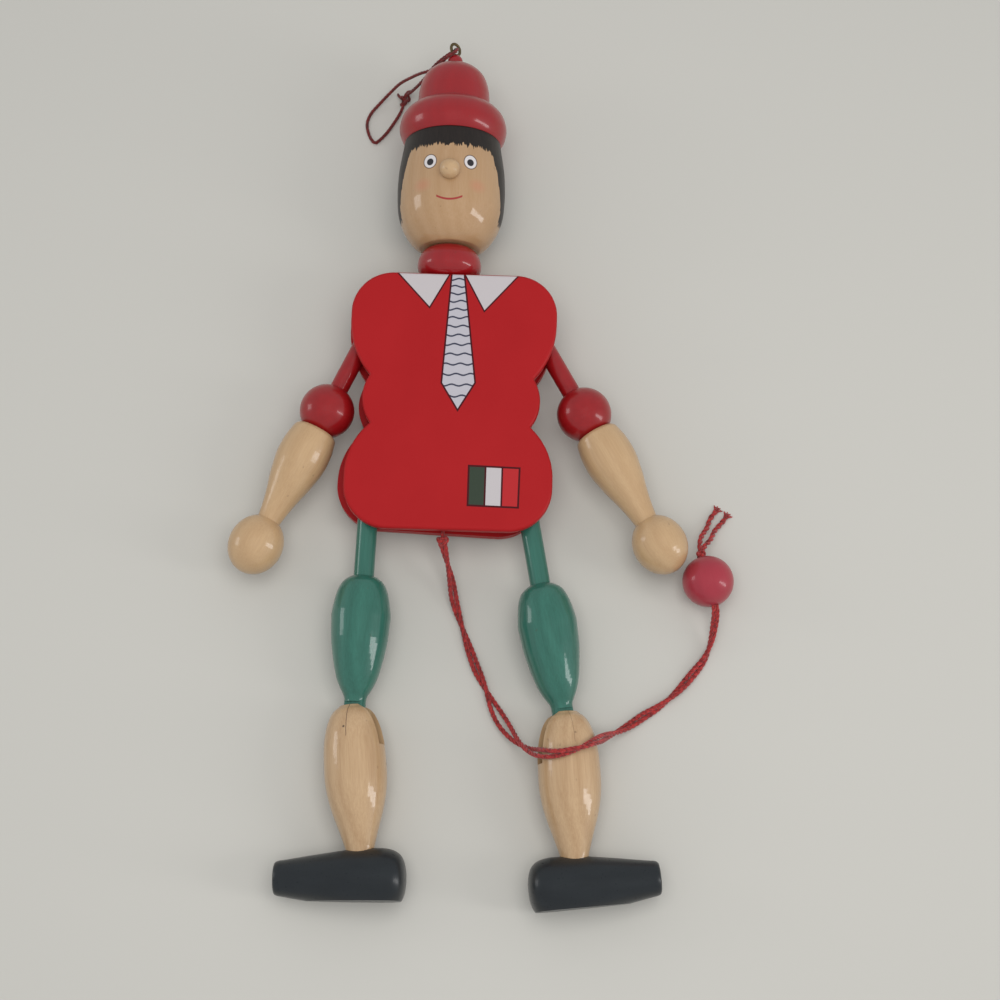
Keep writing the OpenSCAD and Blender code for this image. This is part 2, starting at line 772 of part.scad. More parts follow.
// Strings inside the torso, in front of the flattened tangs
draw_x = -1.5;
draw_top = shoulder_pin_y + string_r;
arm_knot_y = shoulder_pin_y + string_r;
leg_knot_share = 0.875;
leg_knot_rise = hip_pin_y * leg_knot_share;
draw_low_share = 0.25;
leg_knot_y = hip_pin_y + leg_knot_rise;
function tail_at(origin, side, lean, reach) = origin
    + turn_xy([0, reach, 0], side * lean) + [0, 0, string_z];
function arm_tail(side) = tail_at(shoulder_at(side), side,
    side < 0 ? left_arm_lean : right_arm_lean, arm_hole_at);
function leg_tail(side) = tail_at(hip_at(side), side, thigh_lean(side), leg_hole_at);

module tail_string(left, middle, right) {
    cord([left, middle, right], string_d, 8);
    for (end = [left, right]) {
        translate(end)
        pin(-2 * string_z, string_r, string_r);
        translate(end - [0, 0, 2 * string_z])
        sphere(r = knot_r);
    }
}

module arm_string() {
    color([0.65, 0.24, 0.26])
    lay()
    tail_string(arm_tail(-1), pin_place(draw_x, arm_knot_y) + [0, 0, string_z], arm_tail(1));
}

module leg_string() {
    color([0.65, 0.24, 0.26])
    lay()
    tail_string(leg_tail(-1), pin_place(draw_x, leg_knot_y) + [0, 0, string_z], leg_tail(1));
}

module draw_string() {
    top = pin_place(draw_x, draw_top) + [0, 0, string_z];
    mid = pin_place(draw_x, leg_knot_y) + [0, 0, string_z];
    low = pin_place(draw_x, hip_pin_y * draw_low_share) + [0, 0, string_z / 2];
    color([0.65, 0.24, 0.26])
    lay() {
        cord([top, mid, low, exit_inside], string_d, 8);
        translate(top) sphere(r = knot_r);
        translate(mid) sphere(r = knot_r);
    }
}

echo(lay_tilt = lay_tilt, lay_z = lay_z, ankles = [laid(ankle_at(-1)), laid(ankle_at(1))]);

front_panel();
back_panel();
left_shoulder_pin();
right_shoulder_pin();
left_hip_pin();
right_hip_pin();
left_spacer();
right_spacer();
neck_block();
neck_dowel();
neck_ring();
head();
nose();
hat();
screw_eye();
hanging_loop();
left_arm();
right_arm();
left_thigh();
right_thigh();
left_calf();
right_calf();
left_shoe();
right_shoe();
left_ankle_dowel();
right_ankle_dowel();
left_knee_pin();
right_knee_pin();
pull_cord();
pull_bead();
arm_string();
leg_string();
draw_string();
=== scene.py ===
import math
import bpy
from mathutils import Matrix, Vector


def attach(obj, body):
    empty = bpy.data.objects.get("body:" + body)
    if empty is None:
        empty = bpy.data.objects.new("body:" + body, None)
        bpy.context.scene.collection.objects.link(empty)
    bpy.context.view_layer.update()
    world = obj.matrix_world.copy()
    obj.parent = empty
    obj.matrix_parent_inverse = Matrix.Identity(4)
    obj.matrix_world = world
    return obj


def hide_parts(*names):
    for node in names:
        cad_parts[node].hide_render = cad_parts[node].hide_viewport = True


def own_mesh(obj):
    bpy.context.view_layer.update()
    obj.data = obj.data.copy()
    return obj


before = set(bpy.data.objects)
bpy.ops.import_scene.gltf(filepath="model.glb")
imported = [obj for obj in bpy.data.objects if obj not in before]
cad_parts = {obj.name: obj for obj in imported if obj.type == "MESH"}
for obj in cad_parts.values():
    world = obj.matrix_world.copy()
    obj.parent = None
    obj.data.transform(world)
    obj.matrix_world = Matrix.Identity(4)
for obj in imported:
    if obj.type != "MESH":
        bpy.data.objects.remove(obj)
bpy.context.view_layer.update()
MM = 0.001

# Camera
# It stands over the floor on which the toy lies, 16 degrees from upright toward
# the toy's feet, and aims at the floor point in the middle of the photograph.
CAMERA_TILT = math.radians(16.0)
CAMERA_AWAY = 0.828
SENSOR_WIDTH = 36.0
FOCAL_SHARE = 1.8
MIDDLE_X, MIDDLE_Y = 3.65, 37.6
AIM = Vector((22.07 - MIDDLE_X, 21.2 - MIDDLE_Y, 0)) * MM
camera_data = bpy.data.cameras.new("camera")
camera_data.sensor_width = SENSOR_WIDTH
camera_data.lens = FOCAL_SHARE * SENSOR_WIDTH
camera_data.clip_start, camera_data.clip_end = 0.01, 20.0
camera = bpy.data.objects.new("camera", camera_data)
bpy.context.scene.collection.objects.link(camera)
camera.location = AIM + CAMERA_AWAY * Vector((0, -math.sin(CAMERA_TILT), math.cos(CAMERA_TILT)))
camera.rotation_euler = (CAMERA_TILT, 0, 0)
bpy.context.scene.camera = camera


# Pull cord
# Two strands of twisted red cotton, knotted to the draw string inside the torso.
# They come out at the middle of its foot, lie over the right calf and on the
# floor, and run through the bead, where a knot holds them.
def turn(angle, axis):
    return Matrix.Rotation(math.radians(angle), 4, axis)


def move(x, y, z):
    return Matrix.Translation((x, y, z))


LAY_TILT, LAY_Z = 2.55729, 17.8112
LAY = move(-MIDDLE_X, -MIDDLE_Y, LAY_Z) @ turn(LAY_TILT, "X")
CORD_EXIT_X, CORD_EXIT_Y = -3.7, -3
EXIT_AT = tuple(LAY @ Vector((CORD_EXIT_X, CORD_EXIT_Y, 0)))
BEAD_R, BEAD_TURN = 11.5, 13.0
BEAD_AT = Vector((111.5, -57.6, BEAD_R))
BEAD_LINE = turn(BEAD_TURN, "Z") @ Vector((0, 1, 0))


def srgb(r, g, b):
    return tuple(((c / 255 + 0.055) / 1.055) ** 2.4 if c > 10 else c / 3294 for c in (r, g, b))


class Field:
    """One socket of a node tree, used in sums as if it were a number."""

    def __init__(self, tree, socket):
        self.tree, self.socket = tree, socket

    def math(self, operation, *others):
        return self.tree.math(operation, self, *others)

    def __add__(self, other):
        return self.math("ADD", other)

    __radd__ = __add__

    def __sub__(self, other):
        return self.math("SUBTRACT", other)

    def __rsub__(self, other):
        return self.tree.math("SUBTRACT", other, self)

    def __mul__(self, other):
        return self.math("MULTIPLY", other)

    __rmul__ = __mul__

    def __truediv__(self, other):
        return self.math("DIVIDE", other)

    def __rtruediv__(self, other):
        return self.tree.math("DIVIDE", other, self)

    def __abs__(self):
        return self.math("ABSOLUTE")

    def sin(self):
        return self.math("SINE")

    def root(self):
        return self.math("SQRT")

    def least(self, other):
        return self.math("MINIMUM", other)

    def most(self, other):
        return self.math("MAXIMUM", other)

    def clamped(self):
        return self.tree.math("ADD", self, 0.0, clamp=True)

    def below(self, edge, soft):
        """1 where the field is under edge and 0 over it, with a soft border."""
        return self.tree.math("ADD", (edge - self) / soft, 0.5, clamp=True)

    def above(self, edge, soft):
        """1 where the field is over edge and 0 under it, with a soft border."""
        return self.tree.math("ADD", (self - edge) / soft, 0.5, clamp=True)


class Tree:
    """A node tree of a material or of a form."""

    def feed(self, node, sockets):
        """Gives sockets of a node their values or their links."""
        for key, value in sockets.items():
            if isinstance(value, Field):
                self.tree.links.new(value.socket, node.inputs[key])
            else:
                node.inputs[key].default_value = value

    def add(self, kind, sockets, output=0, **settings):
        """Adds a node: its settings first, then its sockets; gives back one output."""
        node = self.tree.nodes.new(kind)
        for setting, value in settings.items():
            setattr(node, setting, value)
        self.feed(node, sockets)
        return Field(self, node.outputs[output]) if node.outputs else None

    def math(self, operation, *values, clamp=False):
        return self.add("ShaderNodeMath", dict(enumerate(values)), operation=operation,
                        use_clamp=clamp)


class Look(Tree):
    """A material whose patterns are written in a piece's own frame, in mm."""

    def __init__(self, name, place, color, roughness, coat=0.0, coat_roughness=0.08):
        self.material = bpy.data.materials.new(name)
        self.material.use_nodes = True
        self.tree = self.material.node_tree
        self.put({"Base Color": (*color, 1), "Roughness": roughness, "Coat Weight": coat,
                  "Coat Roughness": coat_roughness})
        here = self.add("ShaderNodeTexCoord", {}, "Object")
        self.axes = []
        for row in list(place.inverted())[:3]:
            along = self.add("ShaderNodeVectorMath", {0: here, 1: [c / MM for c in row[:3]]},
                             "Value", operation="DOT_PRODUCT")
            self.axes.append(along + row[3])

    def put(self, sockets):
        """Sets or links sockets of the material's own shader."""
        self.feed(self.tree.nodes["Principled BSDF"], sockets)

    def noise(self, scales, detail=3.0, seed=0.0):
        """Noise from 0 to 1 with its own scale per mm along each axis."""
        spots = {i: self.axes[i] * scale + seed for i, scale in enumerate(scales)}
        spot = self.add("ShaderNodeCombineXYZ", spots)
        return self.add("ShaderNodeTexNoise", {"Scale": 1.0, "Detail": detail, "Roughness": 0.55,
                                               "Vector": spot})

    def blend(self, weight, under, over):
        """Colour over lies on colour under where weight is 1."""
        under, over = (c if isinstance(c, Field) else (*c, 1) for c in (under, over))
        return self.add("ShaderNodeMix", {0: weight, 6: under, 7: over}, 2, data_type="RGBA")

    def bump(self, height, depth):
        """Raises the surface by depth, in mm, where height is 1."""
        raised = self.add("ShaderNodeBump", {"Strength": 1.0, "Distance": depth * MM,
                                             "Height": height})
        self.put({"Normal": raised})


class Form(Tree):
    """A geometry tree with named inputs that ends as a real mesh in one material."""

    def __init__(self, name, inputs):
        self.tree = bpy.data.node_groups.new(name, "GeometryNodeTree")
        sockets = self.tree.interface
        sockets.new_socket("Geometry", in_out="INPUT", socket_type="NodeSocketGeometry")
        for label, kind, value in inputs:
            socket = sockets.new_socket(label, in_out="INPUT", socket_type="NodeSocket" + kind)
            socket.default_value = value
        sockets.new_socket("Material", in_out="INPUT", socket_type="NodeSocketMaterial")
        sockets.new_socket("Geometry", in_out="OUTPUT", socket_type="NodeSocketGeometry")
        start = self.tree.nodes.new("NodeGroupInput")
        self.given = {socket.name: Field(self, socket) for socket in start.outputs}

    def close(self, surface):
        smooth = self.add("GeometryNodeSetShadeSmooth", {0: surface})
        real = self.add("GeometryNodeRealizeInstances", {0: smooth})
        dressed = self.add("GeometryNodeSetMaterial",
                           {0: real, "Material": self.given["Material"]})
        self.add("NodeGroupOutput", {0: dressed})

    def apply(self, piece, values):
        """Runs the tree on a piece and keeps the result as the piece's own mesh."""
        modifier = piece.modifiers.new("form", "NODES")
        modifier.node_group = self.tree
        for item in self.tree.interface.items_tree:
            if item.in_out == "INPUT" and item.name in values:
                modifier[item.identifier] = values[item.name]
        bpy.context.view_layer.update()
        graph = bpy.context.evaluated_depsgraph_get()
        mesh = bpy.data.meshes.new_from_object(piece.evaluated_get(graph))
        piece.modifiers.remove(modifier)
        piece.data = mesh


def new_object(name, verts, edges=(), faces=()):
    mesh = bpy.data.meshes.new(name)
    mesh.from_pydata(verts, edges, faces)
    mesh.update()
    piece = bpy.data.objects.new(name, mesh)
    bpy.context.scene.collection.objects.link(piece)
    return piece


def face_outward(piece):
    """Turns the faces outward, by the sign of the volume that they enclose."""
    mesh = piece.data
    volume = 0.0
    for polygon in mesh.polygons:
        v = [mesh.vertices[i].co for i in polygon.vertices]
        for k in range(1, len(v) - 1):
            volume += v[0].dot(v[k].cross(v[k + 1]))
    if volume < 0:
        mesh.flip_normals()


def settle(piece, body, slot, *nodes):
    """Says which body a piece rides on and hides the nodes it stands for; slot is not used."""
    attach(piece, body)
    if nodes:
        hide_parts(*nodes)
    return piece


def twisted_cord():
    """Plies wound about a line, each a tube that follows its own helix."""
    form = Form("twisted_cord", [
        ("Plies", "Int", 2), ("Ply radius", "Float", 0.001), ("Offset", "Float", 0.001),
        ("Twist length", "Float", 0.012), ("Step", "Float", 0.0005), ("Sides", "Int", 10)])
    given, add = form.given, form.add
    line = add("GeometryNodeMeshToCurve", {0: given["Geometry"]})
    even = add("GeometryNodeResampleCurve", {0: line, "Length": given["Step"]}, mode="LENGTH")
    starts = add("GeometryNodeMeshLine", {"Count": given["Plies"], "Offset": (0, 0, 0)})
    number = add("GeometryNodeInputIndex", {})
    numbered = add("GeometryNodeStoreNamedAttribute",
                   {0: starts, "Name": "ply", "Value": number}, data_type="FLOAT",
                   domain="POINT")
    copies = add("GeometryNodeInstanceOnPoints", {0: numbered, "Instance": even})
    plies = add("GeometryNodeRealizeInstances", {0: copies})
    ply = add("GeometryNodeInputNamedAttribute", {"Name": "ply"}, data_type="FLOAT")
    travelled = add("GeometryNodeSplineParameter", {}, "Length")
    turns = travelled / given["Twist length"] + ply / given["Plies"]
    outward = add("ShaderNodeVectorRotate",
                  {"Vector": add("GeometryNodeInputNormal", {}),
                   "Axis": add("GeometryNodeInputTangent", {}), "Angle": turns * math.tau},
                  rotation_type="AXIS_ANGLE")
    shift = add("ShaderNodeVectorMath", {0: outward, "Scale": given["Offset"]},
                operation="SCALE")
    wound = add("GeometryNodeSetPosition", {0: plies, "Offset": shift})
    ring = add("GeometryNodeCurvePrimitiveCircle",
               {"Resolution": given["Sides"], "Radius": given["Ply radius"]})
    form.close(add("GeometryNodeCurveToMesh", {0: wound, "Profile Curve": ring,
                                               "Fill Caps": True}))
    return form


TWIST = twisted_cord()


def twisted(name, lines, cotton, winding, plies=2):
    """Plies wound about each line of points, in mm, as one piece.

    winding is a ply's radius, its distance from the line, and the length of one turn.
    """
    ply_r, offset, twist = winding
    verts, edges = [], []
    for line in lines:
        first = len(verts)
        verts += [Vector(p) * MM for p in line]
        edges += [(i, i + 1) for i in range(first, len(verts) - 1)]
    piece = new_object(name, verts, edges)
    TWIST.apply(piece, {"Plies": plies, "Ply radius": ply_r * MM, "Offset": offset * MM,
                        "Twist length": twist * MM, "Material": cotton.material})
    face_outward(piece)
    return piece


def catmull(points, steps):
    """A smooth line through the points, with so many steps between two of them."""
    out = []
    for i in range(len(points) - 1):
        a = points[max(0, i - 1)]
        b, c = points[i], points[i + 1]
        d = points[min(len(points) - 1, i + 2)]
        for s in range(steps):
            t = s / steps
            out.append([q + (r - p) * t / 2 + (2 * p - 5 * q + 4 * r - w) * t * t / 2
                        + (3 * q - p - 3 * r + w) * t ** 3 / 2
                        for p, q, r, w in zip(a, b, c, d)])
    out.append(list(points[-1]))
    return out


def length_of(line):
    return sum((Vector(b) - Vector(a)).length for a, b in zip(line, line[1:])) * MM


def two_strands(line):
    """Two strands that cross now and then, part at one place and close up at the bead."""
    half_apart, crossings, first_turn, flatness = 1.1, 4.5, 0.4, 0.75
    gap_at, gap_reach, gap_more = 0.34, 0.13, 0.9
    bead_reach, bead_less = 0.18, 0.45
    total, gone = length_of(line) / MM, 0.0
    strands = ([], [])
    aside = Vector((1, 0, 0))
    for i, p in enumerate(line):
        p, before = Vector(p), Vector(line[max(i - 1, 0)])
        ahead = (Vector(line[min(i + 1, len(line) - 1)]) - before).normalized()
        aside = (aside - ahead * aside.dot(ahead)).normalized()
        gone += (p - before).length
        share = gone / total
        wide = (1.0 + gap_more * max(0.0, 1.0 - ((share - gap_at) / gap_reach) ** 2)
                - bead_less * max(0.0, 1.0 - ((share - 1.0) / bead_reach) ** 2))
        angle = first_turn + math.tau * crossings * share
        step = aside * math.cos(angle) + ahead.cross(aside) * math.sin(angle)
        step = Vector((step.x * wide, step.y * wide, step.z * flatness)) * half_apart
        strands[0].append(tuple(p + step))
        strands[1].append(tuple(p - step))
    return strands


def cotton_look(name, color, dark):
    """Matt cotton in patches of two shades, with a little fuzz."""
    look = Look(name, Matrix.Identity(4), color, 0.85)
    threads = look.noise((2.2,) * 3, 4.0)
    patches = look.noise((0.7,) * 3, 2.0, 9.0)
    shade = (threads * 1.2 + patches * 2.2 - 1.15).clamped()
    look.put({"Base Color": look.blend(shade, dark, color), "Sheen Weight": 0.25})
    fibre_depth = 0.12
    look.bump(look.noise((5.0,) * 3, 2.0), fibre_depth)
    return look


def in_bead(share):
    """A place on the bead's axis, as a share of its radius from its middle."""
    return tuple(BEAD_AT + BEAD_LINE * BEAD_R * share)


PULL_STRAND = (0.58, 0.52, 7.0)
PULL_RED, PULL_DARK = srgb(182, 48, 46), srgb(82, 14, 12)
PULL_COTTON = cotton_look("pull_cotton", PULL_RED, PULL_DARK)
PULL_ROUTE = [EXIT_AT, (-5.6, -48, 15), (-3.6, -56.2, 9), (-1.9, -65.7, 4), (1.2, -75.8, 2.1),
              (4.6, -86.3, 2), (7.7, -95, 2), (12, -104.5, 2), (15.4, -112.2, 2.1),
              (19.3, -119.4, 3), (24.2, -126.4, 6), (29, -131.3, 11), (32.8, -134.2, 17),
              (36, -136, 23.5), (39.8, -136.8, 27), (44, -136.8, 29), (49.1, -135.7, 29.5),
              (53.9, -134.1, 28.2), (57.9, -132, 25.5), (61.6, -129.6, 19.6),
              (64.8, -127.4, 12.6), (68.4, -125.4, 7), (72.3, -123.1, 3.6),
              (76.6, -120.4, 2.2), (82, -116.8, 2), (89.5, -112.2, 2), (97.2, -105.9, 2),
              (104.1, -98.3, 2), (109.5, -91.5, 2.1), (112.5, -84.8, 3), (113.9, -78.2, 7),
              in_bead(-1.15), in_bead(-0.5), in_bead(0), in_bead(0.5), in_bead(1.04)]
pull_path = catmull(PULL_ROUTE, 8)
pull_cord = twisted("pull_strands", two_strands(pull_path), PULL_COTTON, PULL_STRAND, 3)
settle(pull_cord, "pull_string", "red_cord", "pull_cord")
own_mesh(pull_cord)


# Knots and ends of the pull cord
# A knot where the cord comes out, one above the bead, and two short ends that
# have come undone at the tips.
def knot_line(at, size):
    """A small overhand knot, pulled tight."""
    line = []
    for i in range(61):
        t = math.tau * i / 60
        line.append((at[0] + size * (math.sin(t) + 2 * math.sin(2 * t)) / 3,
                     at[1] + size * (math.cos(t) - 2 * math.cos(2 * t)) / 3,
                     at[2] - size * math.sin(3 * t) * 0.5))
    return line


def frayed(route):
    """Single fibres that spread from the tip of a cord end down to the floor."""
    count, spread, reach, hidden = 7, 0.75, 2.8, 2.4
    end, before = Vector(route[-1]), Vector(route[-2])
    ahead = (end - before).normalized()
    aside = ahead.cross(Vector((0, 0, 1)))
    fibres = []
    for k in range(count):
        out = (k - (count - 1) / 2) * spread
        tip = end + ahead * (reach - 0.3 * abs(out) - 0.5 * (k % 2)) + aside * out
        bend = end + ahead * 0.6 + aside * (out * 0.5 + 0.4 * math.sin(3.1 * k))
        fibres.append([tuple(end - ahead * hidden), (bend.x, bend.y, 0.8 + 0.3 * (k % 3)),
                       (tip.x, tip.y, 0.4)])
    return [catmull(fibre, 4) for fibre in fibres]


END_A = [in_bead(1), (108.7, -40.5, 8.5), (109.8, -35.6, 6), (112.6, -31, 3), (114.6, -26, 1.6),
         (117.4, -22.2, 1.4)]
END_B = [in_bead(1), (110.8, -40.8, 9), (113.9, -37, 6.5), (116.3, -32, 3), (119.8, -27.9, 1.6),
         (121.9, -25, 1.4)]
EXIT_KNOT_R, BEAD_KNOT_R = 2.1, 1.5
KNOT_STRAND, END_STRAND, FIBRE_STRAND = (0.6, 0.5, 6.0), (0.68, 0.56, 6.2), (0.2, 0.12, 3.0)
for name, lines, winding in (
        ("exit_knot", [knot_line(EXIT_AT, EXIT_KNOT_R)], KNOT_STRAND),
        ("bead_knot", [knot_line(in_bead(1.08), BEAD_KNOT_R)], KNOT_STRAND),
        ("cord_ends", [catmull(END_A, 6), catmull(END_B, 6)], END_STRAND),
        ("end_fibres", frayed(END_A) + frayed(END_B), FIBRE_STRAND)):
    piece = twisted(name, lines, PULL_COTTON, winding)
    settle(piece, "pull_string", "red_cord")


# Bead
# A turned wooden ball with a bore, dipped in a light red varnish. The doubled
# cord runs through it.
def turned_form():
    """An outline spun about Y into a closed skin."""
    form = Form("turned_form", [("Outline steps", "Int", 64), ("Steps around", "Int", 96)])
    given, add = form.given, form.add
    outline = add("GeometryNodeMeshToCurve", {0: given["Geometry"]})
    rows, columns = given["Outline steps"], given["Steps around"]
    grid = add("GeometryNodeMeshGrid", {"Vertices X": columns, "Vertices Y": rows})
    index = add("GeometryNodeInputIndex", {})
    around = (index / rows).math("FLOOR") / (columns - 1.0)
    along = index.math("MODULO", rows) / (rows - 1.0)
    at = add("GeometryNodeSampleCurve", {0: outline, "Factor": along}, "Position",
             mode="FACTOR")
    spun = add("ShaderNodeVectorRotate", {"Vector": at, "Angle": around * math.tau},
               rotation_type="Y_AXIS")
    skin = add("GeometryNodeSetPosition", {0: grid, "Position": spun})
    form.close(add("GeometryNodeMergeByDistance", {0: skin, "Distance": 2e-6}))
    return form


SPIN = turned_form()


def turned(name, place, outline, look, around=96):
    """outline is a list of (radius, height along +Y) in mm, in the frame place."""
    points = [(r * MM, y * MM, 0) for r, y in outline]
    piece = new_object(name, points, [(i, i + 1) for i in range(len(points) - 1)])
    SPIN.apply(piece, {"Outline steps": max(24, len(points) * 3), "Steps around": around + 1,
                       "Material": look.material})
    scale = Matrix.Scale(MM, 4)
    piece.data.transform(scale @ place @ scale.inverted())
    face_outward(piece)
    return piece


def wood_look(name, place, pale, dark, grain=1.0, coat=0.75, seed=0.0, gloss=0.08):
    """Turned wood with long grain under varnish; gives the look and its colour."""
    look = Look(name, place, pale, 0.42, coat, gloss)
    x, z = look.axes[0], look.axes[2]
    wander = look.noise((0.06, 0.012, 0.06), 2.0, seed)
    rings = (x * 0.8 + z * 0.6 + wander * 12.0 + seed).sin() * 0.5 + 0.5
    streaks = look.noise((1.6, 0.05, 1.6), 4.0, seed + 7.0)
    fine = look.noise((5.0, 0.16, 5.0), 2.0, seed + 3.0)
    amount = (rings * 0.22 + streaks * 0.75 + fine * 0.35 - 0.36) * grain
    color = look.blend(amount.clamped(), pale, dark)
    flecks = look.noise((0.42, 0.3, 0.42), 1.0, seed + 20.0).above(0.77, 0.04)
    fleck_color, fleck_strength, grain_depth = srgb(70, 48, 34), 0.22, 0.01
    color = look.blend(flecks * fleck_strength, color, fleck_color)
    look.put({"Specular IOR Level": 0.25, "Roughness": streaks * 0.12 + 0.36})
    look.bump(fine * 0.4 + streaks * 0.6, grain_depth)
    return look, color


def stain_look(name, place, pale, dark, seed):
    """Stain under varnish that lets a little of the grain through."""
    grain_left = 0.8
    look, color = wood_look(name, place, pale, dark, grain_left, seed=seed)
    look.put({"Base Color": color})
    return look


BEAD_RED, BEAD_DARK = srgb(158, 48, 60), srgb(142, 38, 50)
BORE_R, BEAD_COAT = 1.95, 0.45
BORE_HALF = math.sqrt(BEAD_R ** 2 - BORE_R ** 2)
bead_place = move(*BEAD_AT) @ turn(BEAD_TURN, "Z")
bead_look = stain_look("bead_stain", bead_place, BEAD_RED, BEAD_DARK, 63.0)
bead_look.put({"Coat Weight": BEAD_COAT})
ball = [(BEAD_R * math.cos(math.radians(a)), BEAD_R * math.sin(math.radians(a)))
        for a in range(-80, 81, 5)]
bore = [(BORE_R, BORE_HALF), (BORE_R, -BORE_HALF)]
bead = turned("bead_turned", bead_place, bore[1:] + ball + bore, bead_look)
settle(bead, "pull_string", "bead_red", "pull_bead")
[[c * MM for c in p] for p in pull_path]

# Hanging loop
# A thinner, darker cotton cord through the screw eye, knotted into a loop with
# short tails. It hangs down beside the hat and its far end lies on the floor.
LOOP_RED, LOOP_DARK = srgb(126, 30, 26), srgb(58, 14, 11)
LOOP_COTTON = cotton_look("loop_cotton", LOOP_RED, LOOP_DARK)
LOOP_ROUTE = [(-28.2, 188.6, 2.2), (-25.7, 189.1, 5), (-21.4, 189.2, 12), (-17.3, 190.6, 18),
              (-13, 193.6, 23.2), (-9.6, 195.4, 26), (-6.4, 196.7, 28.2), (-4.6, 198.4, 27.4),
              (-2.8, 199.2, 28.5), (-1.8, 198.6, 30.2), (-2.9, 196, 32), (-6.3, 194.2, 31),
              (-9.5, 192, 29), (-12.4, 190.7, 26.6), (-16.1, 190.4, 23.8), (-19.6, 190.9, 21),
              (-24.1, 191.4, 16.4), (-30.1, 190.9, 11), (-35.2, 188.6, 6), (-40.8, 184.2, 2.4),
              (-44.5, 180.2, 1.1), (-46.3, 175.8, 0.95), (-46.2, 171.4, 0.9),
              (-44.6, 166.8, 0.9), (-42.3, 164.4, 0.9), (-39.4, 166.6, 0.9),
              (-36.2, 170.5, 0.9), (-32.9, 175.8, 0.9), (-30.1, 181, 1), (-28.6, 185.6, 1.6)]
LOOP_KNOT = (-28.2, 187.2, 2.2)
LOOP_TAILS = ([LOOP_KNOT, (-30.4, 187.9, 2.6), (-31.6, 190.2, 1.6)],
              [LOOP_KNOT, (-27.4, 190, 3.2), (-25.2, 191.6, 2.4)],
              [LOOP_KNOT, (-28.8, 184.9, 2.6), (-30.4, 184.6, 1.4)])
LOOP_KNOT_R = 2.2
LOOP_STRAND, LOOP_KNOT_STRAND, TAIL_STRAND = (0.42, 0.4, 5.6), (0.52, 0.42, 5.0), (0.42, 0.32, 4.0)
loop_path = catmull(LOOP_ROUTE, 8)
hanging_loop = twisted("loop_strands", [loop_path], LOOP_COTTON, LOOP_STRAND, 3)
settle(hanging_loop, "torso", "loop_cord", "hanging_loop")
for name, lines, winding in (
        ("loop_knot", [knot_line(LOOP_KNOT, LOOP_KNOT_R)], LOOP_KNOT_STRAND),
        ("loop_tails", [catmull(tail, 4) for tail in LOOP_TAILS], TAIL_STRAND)):
    piece = twisted(name, lines, LOOP_COTTON, winding)
    settle(piece, "torso", "loop_cord")
[c * MM for c in loop_path[0]]
[[c * MM for c in p] for p in loop_path]


# Boards
# Two thin boards of one lobed outline, the back one a little shorter and askew.
# They are painted red, held apart by the neck block and two dowels, and nailed
# through. Collar, tie and striped patch are printed on the front board.
def dress(node, look):
    """Gives a carried-over solid its material."""
    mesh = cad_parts[node].data
    mesh.materials.clear()
    mesh.materials.append(look.material)
    for polygon in mesh.polygons:
        polygon.material_index = 0


BOARD_H, BOARD_T, BOARD_GAP = 120.0, 5.0, 11.0
TORSO_TURN, TORSO_PIVOT = 1.8, (0.3, 60)
TORSO_LOCAL = move(*TORSO_PIVOT, 0) @ turn(-TORSO_TURN, "Z") @ move(-TORSO_PIVOT[0],
                                                                    -TORSO_PIVOT[1], 0)
TORSO = LAY @ TORSO_LOCAL
HIP_WIDE, HIP_R, HIP_RISE = 46.6, 32.0, 0.204
WAIST_WIDE, WAIST_R, WAIST_RISE = 40.1, 19.7, 0.502
CHEST_WIDE, CHEST_R, CHEST_RISE = 46.8, 40.0, 0.808
FOOT_CORNER_R, TOP_CORNER_R = 20.0, 19.0


def arc(center, r, start, end, count):
    angles = [math.radians(start + (end - start) * i / count) for i in range(count + 1)]
    return [(center[0] + r * math.cos(a), center[1] + r * math.sin(a)) for a in angles]


def meet(c1, r1, c2, r2):
    """The crossing of two circles that lies further to the right."""
    dx, dy = c2[0] - c1[0], c2[1] - c1[1]
    d = math.hypot(dx, dy)
    a = (r1 * r1 - r2 * r2 + d * d) / (2 * d)
    h = math.sqrt(r1 * r1 - a * a)
    mx, my = c1[0] + a * dx / d, c1[1] + a * dy / d
    return max((mx + h * dy / d, my - h * dx / d), (mx - h * dy / d, my + h * dx / d))


def seen_from(c, p):
    return math.degrees(math.atan2(p[1] - c[1], p[0] - c[0]))


def board_outline():
    """The outline, anticlockwise from the middle of the foot, in mm."""
    hip_c = (HIP_WIDE - HIP_R, BOARD_H * HIP_RISE)
    waist_c = (WAIST_WIDE - WAIST_R, BOARD_H * WAIST_RISE)
    chest_c = (CHEST_WIDE - CHEST_R, BOARD_H * CHEST_RISE)
    low = meet(hip_c, HIP_R, waist_c, WAIST_R)
    high = meet(waist_c, WAIST_R, chest_c, CHEST_R)
    half = arc((HIP_WIDE - FOOT_CORNER_R, FOOT_CORNER_R), FOOT_CORNER_R, -90, 0, 24)
    half += arc(hip_c, HIP_R, 0, seen_from(hip_c, low), 20)
    half += arc(waist_c, WAIST_R, seen_from(waist_c, low), seen_from(waist_c, high), 20)[1:]
    half += arc(chest_c, CHEST_R, seen_from(chest_c, high), 0, 20)[1:]
    half += arc((CHEST_WIDE - TOP_CORNER_R, BOARD_H - TOP_CORNER_R), TOP_CORNER_R, 0, 90, 24)
    return half + [(-x, y) for x, y in reversed(half)]


